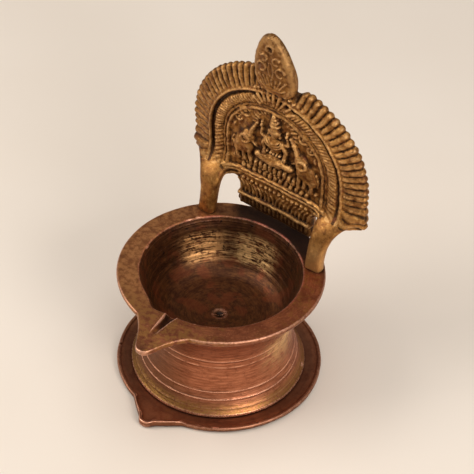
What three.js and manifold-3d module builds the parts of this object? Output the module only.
// A cast brass oil lamp: a waisted, turned bowl with a wick spout, joined by a stud to a spouted
// saucer, with an upright ornamental plate standing on two legs riveted to the back of the rim.
//
// Frame: millimetres, +Z up, origin on the lamp's axis at the underside of the saucer.
// Both spouts point along -Y and the ornamental plate stands on the +Y side.

import * as THREE from 'three';
import { mergeVertices } from 'three/addons/utils/BufferGeometryUtils.js';
import Module from 'manifold-3d';

const wasm = await Module();
wasm.setup();

// ---------------------------------------------------------------- driving dimensions

const RIM_RADIUS = 40;          // outer edge of the flat rim
const RIM_TOP = 47.4;           // height of the flat rim above the table
const RIM_EDGE = 2.2;           // thickness of the rim's outer edge
const MOUTH_RADIUS = 31;        // opening of the bowl
const BOWL_FLOOR = 24.5;        // height of the bowl's floor on the axis
const WAIST_RADIUS = 28.2;      // narrowest part of the body
const WAIST_TOP = 22;           // height of the waist
const FOOT_RADIUS = 34.3;       // spread foot of the body
const WALL = 3;                 // casting thickness of the body

const SAUCER_RADIUS = 40.4;
const SAUCER_FLOOR = 1.4;       // top of the saucer's floor, where the foot rests
const SAUCER_LIP = 2.4;         // top of the saucer's raised edge
const SAUCER_SPOUT_LIP = 3.3;   // the edge is taller round the saucer's spout
const LIP_WIDTH = 1.2;
const PAD_RADIUS = 12.5;        // thick middle of the saucer, which holds the stud
const PAD_TOP = 6;

const BOWL_SPOUT_TIP = 53.4;    // reach of the rim's spout from the axis
const SAUCER_SPOUT_TIP = 48.2;  // reach of the saucer's spout from the axis
const SPOUT_HALF_WIDTH = 12;    // half width of both spouts where they leave the round edge
const GROOVE_WIDTH = 4.4;       // wick groove at the bowl's mouth
const GROOVE_LENGTH = 16;
const GROOVE_DEPTH = 2.6;

const LEG_X = 26.6;             // the legs stand either side of the middle
const LEG_Y = 23.8;             // and this far behind the axis
const LEG_WIDTH = 5.8;
const LEG_SWEEP = 12;           // how far a leg runs back to reach the plate
const FOOT_PAD_RADIUS = 3.6;

const PLATE_Y = 34.6;           // the plate's ground surface, at rim height
const PLATE_LEAN = THREE.MathUtils.degToRad(4.3);   // it leans forward over the bowl
const PLATE_THICKNESS = 2.6;
const ARCH_RADIUS = 39.8;       // outer edge of the fluted border, between flutes
const ARCH_CENTRE = 36.6;       // height of the arch's centre above the rim
const WING_BOTTOM = 19.8;       // lower end of the arch's straight sides
const BORDER_INNER = 31.5;      // inner edge of the fluted border
const BORDER_DROP = 3;          // the border slopes back by this much
const ROPE_RADIUS = 26.9;       // middle of the rope moulding
const FLUTES_PER_SIDE = 25;
const FINIAL_BASE = 69;
const FINIAL_TOP = 95;
const FINIAL_HALF_WIDTH = 10.4;
const APRON_HALF_WIDTH = 16.6;
const APRON_BOTTOM = 4.5;

const CLEARANCE = 0.3;          // gap round every shank
const RIVET_RADIUS = 1.2;
const RIVET_HEAD_RADIUS = 2.7;
const RIVET_REACH = 3;          // how far a rivet goes into its leg
const RIVET_SEAT = 42.8;        // height of the flat that is spot-faced under the rim
const STUD_RADIUS = 2.2;
const STUD_BOTTOM = 1.5;        // the stud runs from here, inside the saucer's middle,
const STUD_TOP = 15;            // to here, inside the bowl's stem

const ROUND = 64;               // facets round a turned surface
const CURVE_STEPS = 4;          // facets along each curve of a turned profile
const BEYOND = 10;              // cutting solids run this far past the surface that they cut
const OVERLAP = 0.01;           // solids that are joined run this far into each other

// ---------------------------------------------------------------- materials

const turnedBrass = new THREE.MeshStandardMaterial({ color: 0x8a4f2e, roughness: 0.42, metalness: 0.9 });
const castBrass = new THREE.MeshStandardMaterial({ color: 0x94682c, roughness: 0.5, metalness: 0.9 });
const rivetBrass = new THREE.MeshStandardMaterial({ color: 0x7c5a30, roughness: 0.5, metalness: 0.9 });

// ---------------------------------------------------------------- solids and meshes

// A closed geometry as a solid that can be joined and cut.
function solid(geometry) {
  const bare = geometry.clone();
  bare.deleteAttribute('normal');
  bare.deleteAttribute('uv');
  const welded = mergeVertices(bare, 1e-4);
  const index = Array.from(welded.index.array);
  const triVerts = [];
  for (let i = 0; i < index.length; i += 3) {
    const [a, b, c] = index.slice(i, i + 3);
    if (a !== b && b !== c && c !== a) triVerts.push(a, b, c);
  }
  return new wasm.Manifold(new wasm.Mesh({
    numProp: 3,
    vertProperties: Float32Array.from(welded.attributes.position.array),
    triVerts: Uint32Array.from(triVerts),
  }));
}

function join(solids) {
  return solids.reduce((whole, next) => whole.add(next));
}

// The named mesh of a finished solid.
function part(name, shape, material) {
  const { vertProperties, triVerts } = shape.getMesh();
  const geometry = new THREE.BufferGeometry();
  geometry.setAttribute('position', new THREE.BufferAttribute(vertProperties, 3));
  geometry.setIndex(new THREE.BufferAttribute(triVerts, 1));
  geometry.computeVertexNormals();
  const mesh = new THREE.Mesh(geometry, material);
  mesh.name = name;
  return mesh;
}

// A turned solid about Z. The profile holds (radius, height) points and runs anticlockwise.
function turned(profile, facets = ROUND) {
  return solid(new THREE.LatheGeometry(profile, facets).rotateX(Math.PI / 2));
}

// A straight-sided solid whose plan is the given shape, from one height to another.
function prism(shape, bottom, top, curveSegments = 8) {
  const settings = { depth: top - bottom, bevelEnabled: false, curveSegments };
  return solid(new THREE.ExtrudeGeometry(shape, settings).translate(0, 0, bottom));
}

function upright(radius, bottom, top, x, y, facets = 24) {
  const rod = new THREE.CylinderGeometry(radius, radius, top - bottom, facets).rotateX(Math.PI / 2);
  return solid(rod.translate(x, y, (top + bottom) / 2));
}

function block(width, depth, height, x, y, z) {
  return solid(new THREE.BoxGeometry(width, depth, height).translate(x, y, z));
}

// Plan of a spout: straight sides that draw in from the round edge to a blunt tip on -Y.
// A positive inset gives the same plan that much smaller, for the channel inside a lip.
function spoutPlan(edgeRadius, tip, inset = 0) {
  const half = SPOUT_HALF_WIDTH - inset;
  const tipHalf = 3.4 - inset * 0.6;
  const reach = tip - inset;
  const shoulder = -Math.sqrt(edgeRadius ** 2 - SPOUT_HALF_WIDTH ** 2);
  const plan = new THREE.Shape();
  plan.moveTo(half, shoulder + 3);
  plan.lineTo(-half, shoulder + 3);
  plan.lineTo(-half, shoulder);
  plan.quadraticCurveTo(-half * 0.62, shoulder - 4, -tipHalf, -reach + 2.6);
  plan.quadraticCurveTo(-tipHalf * 0.7, -reach, 0, -reach);
  plan.quadraticCurveTo(tipHalf * 0.7, -reach, tipHalf, -reach + 2.6);
  plan.quadraticCurveTo(half * 0.62, shoulder - 4, half, shoulder);
  plan.closePath();
  return plan;
}

// ---------------------------------------------------------------- bowl

// Section of the body: hollow foot and its stem, waisted side, flat rim and rounded bowl.
function bodyProfile() {
  const path = new THREE.Path();
  path.moveTo(0, PAD_TOP + CLEARANCE);
  path.lineTo(6, PAD_TOP + CLEARANCE);
  path.lineTo(6.5, BOWL_FLOOR - WALL - 1);
  path.lineTo(WAIST_RADIUS - WALL - 4, BOWL_FLOOR - WALL);
  path.quadraticCurveTo(WAIST_RADIUS - WALL, BOWL_FLOOR - WALL, WAIST_RADIUS - WALL, 18);
  path.quadraticCurveTo(WAIST_RADIUS - WALL, 9, 30, SAUCER_FLOOR);
  path.lineTo(32.8, SAUCER_FLOOR);
  path.lineTo(FOOT_RADIUS, SAUCER_FLOOR + 0.9);
  path.lineTo(FOOT_RADIUS - 0.5, SAUCER_FLOOR + 1.7);
  path.quadraticCurveTo(WAIST_RADIUS + 0.3, 10, WAIST_RADIUS, WAIST_TOP);
  path.bezierCurveTo(WAIST_RADIUS, 34, 33.5, 40.5, RIM_RADIUS - 0.6, RIM_TOP - RIM_EDGE);
  path.lineTo(RIM_RADIUS, RIM_TOP - RIM_EDGE / 2);
  path.lineTo(RIM_RADIUS - 0.3, RIM_TOP);
  path.lineTo(MOUTH_RADIUS + 0.8, RIM_TOP);
  path.lineTo(MOUTH_RADIUS, RIM_TOP - 0.8);
  path.bezierCurveTo(28.6, 42, 28.2, 27.4, 19, BOWL_FLOOR + 1.3);
  path.quadraticCurveTo(9, BOWL_FLOOR, 0, BOWL_FLOOR);
  return path.getPoints(CURVE_STEPS);
}

// The rib under the spout's lip: a steep pointed cone that runs down into the body.
function spoutKeel() {
  const length = 17;
  const radius = 7;
  const lipUnderside = RIM_TOP - RIM_EDGE + 0.2;
  const cone = new THREE.ConeGeometry(radius, length, 16).rotateZ(Math.PI).scale(1, 1, 0.7);
  cone.translate(0, -(BOWL_SPOUT_TIP - 3) + length / 2, lipUnderside);
  const middle = lipUnderside - length / 2;
  const below = block(4 * SPOUT_HALF_WIDTH, 2 * BOWL_SPOUT_TIP, length, 0, -BOWL_SPOUT_TIP, middle);
  return solid(cone).intersect(below);
}

// A wick groove that starts at the bowl's mouth and runs out, narrower and shallower.
function wickGroove() {
  const start = -(MOUTH_RADIUS - 3);
  const half = GROOVE_WIDTH / 2;
  const section = new THREE.Shape();
  section.moveTo(start, RIM_TOP + 1);
  section.lineTo(start, RIM_TOP - GROOVE_DEPTH);
  section.lineTo(start - 7, RIM_TOP - GROOVE_DEPTH);
  section.lineTo(start - 3 - GROOVE_LENGTH, RIM_TOP + 0.2);
  section.lineTo(start - 3 - GROOVE_LENGTH, RIM_TOP + 1);
  section.closePath();
  const side = new THREE.ExtrudeGeometry(section, { depth: 2 * half, bevelEnabled: false });
  side.translate(0, 0, -half).rotateX(Math.PI / 2).rotateZ(Math.PI / 2);
  const plan = new THREE.Shape();
  plan.moveTo(half, start + 1);
  plan.lineTo(-half, start + 1);
  plan.lineTo(-half, start - 4);
  plan.lineTo(-half * 0.6, start - 3 - GROOVE_LENGTH);
  plan.lineTo(half * 0.6, start - 3 - GROOVE_LENGTH);
  plan.lineTo(half, start - 4);
  plan.closePath();
  return solid(side).intersect(prism(plan, RIM_TOP - BEYOND, RIM_TOP + BEYOND));
}

function makeBowl() {
  const spout = prism(spoutPlan(RIM_RADIUS, BOWL_SPOUT_TIP), RIM_TOP - RIM_EDGE, RIM_TOP);
  let bowl = turned(bodyProfile()).add(spout).add(spoutKeel()).subtract(wickGroove());
  bowl = bowl.subtract(upright(STUD_RADIUS + CLEARANCE, 0, STUD_TOP + CLEARANCE, 0, 0));
  for (const side of [-1, 1]) {
    const x = side * LEG_X;
    bowl = bowl.subtract(upright(RIVET_RADIUS + CLEARANCE, RIVET_SEAT - 1, RIM_TOP + BEYOND, x, LEG_Y));
    bowl = bowl.subtract(upright(RIVET_HEAD_RADIUS + CLEARANCE, RIVET_SEAT - BEYOND, RIVET_SEAT, x, LEG_Y));
  }
  return bowl;
}

// ---------------------------------------------------------------- saucer

// Section of the round dish, flat underneath, with its raised lip and its thick middle.
function saucerProfile() {
  const path = new THREE.Path();
  path.moveTo(0, 0);
  path.lineTo(SAUCER_RADIUS - 1.6, 0);
  path.quadraticCurveTo(SAUCER_RADIUS, 0.2, SAUCER_RADIUS, 1.6);
  path.lineTo(SAUCER_RADIUS - 0.3, SAUCER_LIP);
  path.lineTo(SAUCER_RADIUS - LIP_WIDTH, SAUCER_LIP);
  path.lineTo(SAUCER_RADIUS - LIP_WIDTH - 0.6, SAUCER_FLOOR + 0.3);
  path.lineTo(FOOT_RADIUS + 0.8, SAUCER_FLOOR);
  path.lineTo(PAD_RADIUS + 1.5, SAUCER_FLOOR);
  path.lineTo(PAD_RADIUS, PAD_TOP);
  path.lineTo(0, PAD_TOP);
  return path.getPoints(3);
}

function makeSaucer() {
  const spout = prism(spoutPlan(SAUCER_RADIUS, SAUCER_SPOUT_TIP), 0, SAUCER_SPOUT_LIP);
  const channelFloor = SAUCER_FLOOR + 0.4;
  const channel = prism(spoutPlan(SAUCER_RADIUS, SAUCER_SPOUT_TIP, LIP_WIDTH), channelFloor, BEYOND);
  const aboveLip = SAUCER_LIP + BEYOND / 2;
  const innerEnd = block(4 * SPOUT_HALF_WIDTH, BEYOND, BEYOND, 0, 9 - SAUCER_RADIUS, aboveLip);
  const dish = turned(saucerProfile()).add(spout.subtract(innerEnd)).subtract(channel);
  return dish.subtract(upright(STUD_RADIUS + CLEARANCE, STUD_BOTTOM - CLEARANCE, BEYOND, 0, 0));
}

// ---------------------------------------------------------------- ornamental plate
//
// The plate is built in its own frame: X to the right, Y up from rim level and Z forward from
// its ground surface. makePlate() then stands it up behind the bowl and leans it forward.

// Half of the plate's cross-section, as (distance from the middle, depth) points: ground,
// inner ridge, rope moulding, groove, thin ridge and the fluted border that slopes back.
function plateSection() {
  return [
    [0, -PLATE_THICKNESS],
    [BORDER_INNER, -PLATE_THICKNESS],
    [ARCH_RADIUS, -PLATE_THICKNESS - 0.8],
    [ARCH_RADIUS, 1 - BORDER_DROP],
    [BORDER_INNER + 0.8, 0.6],
    [BORDER_INNER, 1],
    [BORDER_INNER - 0.9, 0],
    [ROPE_RADIUS + 2.6, 0],
    [ROPE_RADIUS + 1.6, 1.2],
    [ROPE_RADIUS - 1.6, 1.2],
    [ROPE_RADIUS - 2.6, 0],
    [ROPE_RADIUS - 3.6, 1],
    [ROPE_RADIUS - 4.4, 0],
    [0, 0],
  ].map(([x, depth]) => new THREE.Vector2(x, depth));
}

// The round head of the plate and the straight sides under it.
function archedSheet() {
  const whole = new THREE.LatheGeometry(plateSection(), 56).rotateX(Math.PI / 2);
  const upperHalf = block(3 * ARCH_RADIUS, 2 * ARCH_RADIUS, ARCH_RADIUS, 0, ARCH_RADIUS, 0);
  const upper = solid(whole).intersect(upperHalf);
  const section = plateSection();
  const mirrored = section.slice(1, -1).reverse().map(({ x, y }) => new THREE.Vector2(-x, y));
  const lower = new THREE.ExtrudeGeometry(new THREE.Shape([...section, ...mirrored]), {
    depth: ARCH_CENTRE - WING_BOTTOM,
    bevelEnabled: false,
  }).rotateX(Math.PI / 2);
  return upper.add(solid(lower.translate(0, OVERLAP, 0))).translate(0, ARCH_CENTRE, 0);
}

// Where flute number i of a side sits, and which way it points, measured along the straight
// side from its lower end and then round the arch.
function flutePlace(i, side) {
  const straight = ARCH_CENTRE - WING_BOTTOM;
  const middle = (BORDER_INNER + ARCH_RADIUS) / 2 + 0.6;
  const arc = Math.acos(FINIAL_HALF_WIDTH / ARCH_RADIUS);
  const pitch = (straight + ARCH_RADIUS * arc) / FLUTES_PER_SIDE;
  const along = (i + 0.5) * pitch;
  const angle = Math.max(0, along - straight) / ARCH_RADIUS;
  const drop = Math.min(0, along - straight);
  return {
    x: side * middle * Math.cos(angle),
    y: ARCH_CENTRE + drop + middle * Math.sin(angle),
    angle: side > 0 ? angle : Math.PI - angle,
  };
}

// One flute: a tapered bar lying radially on the sloping border, proud of its edge.
function flute(i, side) {
  const length = ARCH_RADIUS - BORDER_INNER + 1;
  const bar = new THREE.CylinderGeometry(1.35, 1.05, length, 5);
  bar.rotateZ(-Math.PI / 2).rotateY(Math.atan2(BORDER_DROP - 0.4, length));
  const { x, y, angle } = flutePlace(i, side);
  return solid(bar.translate(0, 0, -0.9).rotateZ(angle).translate(x, y, 0));
}

// Bud-shaped finial, as thick as it is deep in relief.
function finial() {
  const path = new THREE.Path();
  path.moveTo(0, FINIAL_BASE);
  path.quadraticCurveTo(8, FINIAL_BASE, 9.4, 75);
  path.quadraticCurveTo(FINIAL_HALF_WIDTH + 1, 79, 8.6, 83.5);
  path.bezierCurveTo(6.6, 88, 4.4, FINIAL_TOP, 0, FINIAL_TOP);
  const bud = new THREE.LatheGeometry(path.getPoints(5), 20);
  return solid(bud.scale(1, 1, 0.38).translate(0, 0, -0.4));
}

// Apron that hangs below the plate between the legs, with the shoulders over both openings.
function apron() {
  const outline = new THREE.Shape();
  outline.moveTo(-APRON_HALF_WIDTH, APRON_BOTTOM);
  outline.lineTo(APRON_HALF_WIDTH, APRON_BOTTOM);
  for (const side of [1, -1]) {
    const opening = [[APRON_HALF_WIDTH, 15], [18, 17.6], [20.5, 18.2]];
    const steps = [...opening, [23, 17.2], [33, 17.6], [36, WING_BOTTOM + 0.5]];
    if (side < 0) steps.reverse();
    for (const [x, y] of steps) outline.lineTo(side * x, y);
  }
  outline.closePath();
  const settings = { depth: PLATE_THICKNESS + 0.8, bevelEnabled: false };
  return solid(new THREE.ExtrudeGeometry(outline, settings).translate(0, 0, -PLATE_THICKNESS));
}

// A level moulding across the plate.
function bar(halfWidth, height, radius, depth) {
  const rod = new THREE.CylinderGeometry(radius, radius, 2 * halfWidth, 10).rotateZ(Math.PI / 2);
  return solid(rod.translate(0, height, depth));
}

function boss(x, y, width, height, depth) {
  return solid(new THREE.SphereGeometry(1, 10, 6).scale(width, height, depth).translate(x, y, 0));
}

// The raised group in the middle: a seated figure between two elephants.
function reliefGroup() {
  const figure = [
    boss(0, 35.5, 8.5, 3.4, 3),
    boss(0, 41.5, 4.4, 5.4, 2.8),
    boss(0, 49.4, 2.6, 3, 2.8),
    boss(0, 54, 2, 4, 2),
  ];
  const animals = [-1, 1].flatMap((side) => [
    boss(side * 15, 39.5, 5, 5.4, 2.6),
    boss(side * 11, 45.5, 2.2, 4.4, 2.2),
  ]);
  return [...figure, ...animals];
}

// A leg: its side view leans back and sweeps into the plate, its front view is straight.
// The points are (distance behind the front of the foot, height above the rim).
function leg(side) {
  const front = [[0.5, 4], [1.6, 9], [2.8, 13.5], [5, 17], [LEG_SWEEP - 1.5, 22.5]];
  const back = [[LEG_SWEEP - 0.6, 17.2], [8, 13.5], [6.4, 9], [5, 4], [4.3, 0]];
  const points = (list) => list.map(([y, z]) => new THREE.Vector2(y, z));
  const view = new THREE.Shape();
  view.moveTo(0, 0);
  view.splineThru(points(front));
  view.lineTo(LEG_SWEEP + 1.4, 22.5);
  view.lineTo(LEG_SWEEP + 2.2, 19.4);
  view.splineThru(points(back));
  view.closePath();
  const settings = { depth: LEG_WIDTH, bevelEnabled: false, curveSegments: 3 };
  const body = new THREE.ExtrudeGeometry(view, settings).rotateX(Math.PI / 2).rotateZ(Math.PI / 2);
  body.translate(side * LEG_X - LEG_WIDTH / 2, LEG_Y - 2.3, RIM_TOP);
  const pad = upright(FOOT_PAD_RADIUS, RIM_TOP, RIM_TOP + 2, side * LEG_X, LEG_Y);
  const socket = upright(
    RIVET_RADIUS + CLEARANCE, RIM_TOP - 1, RIM_TOP + RIVET_REACH + CLEARANCE, side * LEG_X, LEG_Y, 16,
  );
  return solid(body).add(pad).subtract(socket);
}

function makePlate() {
  const flutes = [];
  for (let i = 0; i < FLUTES_PER_SIDE; i++) flutes.push(flute(i, 1), flute(i, -1));
  const mouldings = [bar(25, 21.4, 1.1, 0.3), bar(APRON_HALF_WIDTH, 9.3, 1, 0.6)];
  const standing = join([archedSheet(), apron(), finial(), ...flutes, ...mouldings, ...reliefGroup()]);
  const turn = new THREE.Matrix4().makeRotationX(Math.PI / 2 + PLATE_LEAN);
  turn.setPosition(0, PLATE_Y, RIM_TOP);
  return join([standing.transform(turn.elements), leg(-1), leg(1)]);
}

// ---------------------------------------------------------------- fixings

// Rivet from under the rim into a leg: round head below, plain shank above.
function makeRivet(side) {
  const end = RIM_TOP + RIVET_REACH;
  const path = new THREE.Path();
  path.moveTo(0, RIVET_SEAT - 1.7);
  path.quadraticCurveTo(RIVET_HEAD_RADIUS * 0.9, RIVET_SEAT - 1.7, RIVET_HEAD_RADIUS, RIVET_SEAT);
  path.lineTo(RIVET_RADIUS, RIVET_SEAT);
  path.lineTo(RIVET_RADIUS, end - 0.4);
  path.lineTo(RIVET_RADIUS - 0.4, end);
  path.lineTo(0, end);
  return turned(path.getPoints(5), 20).translate(side * LEG_X, LEG_Y, 0);
}

// Plain stud that joins the saucer's middle to the bowl's stem.
function makeStud() {
  const path = new THREE.Path();
  path.moveTo(0, STUD_BOTTOM);
  path.lineTo(STUD_RADIUS - 0.6, STUD_BOTTOM);
  path.lineTo(STUD_RADIUS, STUD_BOTTOM + 0.6);
  path.lineTo(STUD_RADIUS, STUD_TOP - 0.6);
  path.lineTo(STUD_RADIUS - 0.6, STUD_TOP);
  path.lineTo(0, STUD_TOP);
  return turned(path.getPoints(), 24);
}

// ---------------------------------------------------------------- the lamp

const lamp = new THREE.Group();
lamp.add(part('oil_bowl', makeBowl(), turnedBrass));
lamp.add(part('drip_saucer', makeSaucer(), turnedBrass));
lamp.add(part('back_plate', makePlate(), castBrass));
lamp.add(part('left_leg_rivet', makeRivet(-1), rivetBrass));
lamp.add(part('right_leg_rivet', makeRivet(1), rivetBrass));
lamp.add(part('saucer_stud', makeStud(), rivetBrass));

export default lamp;
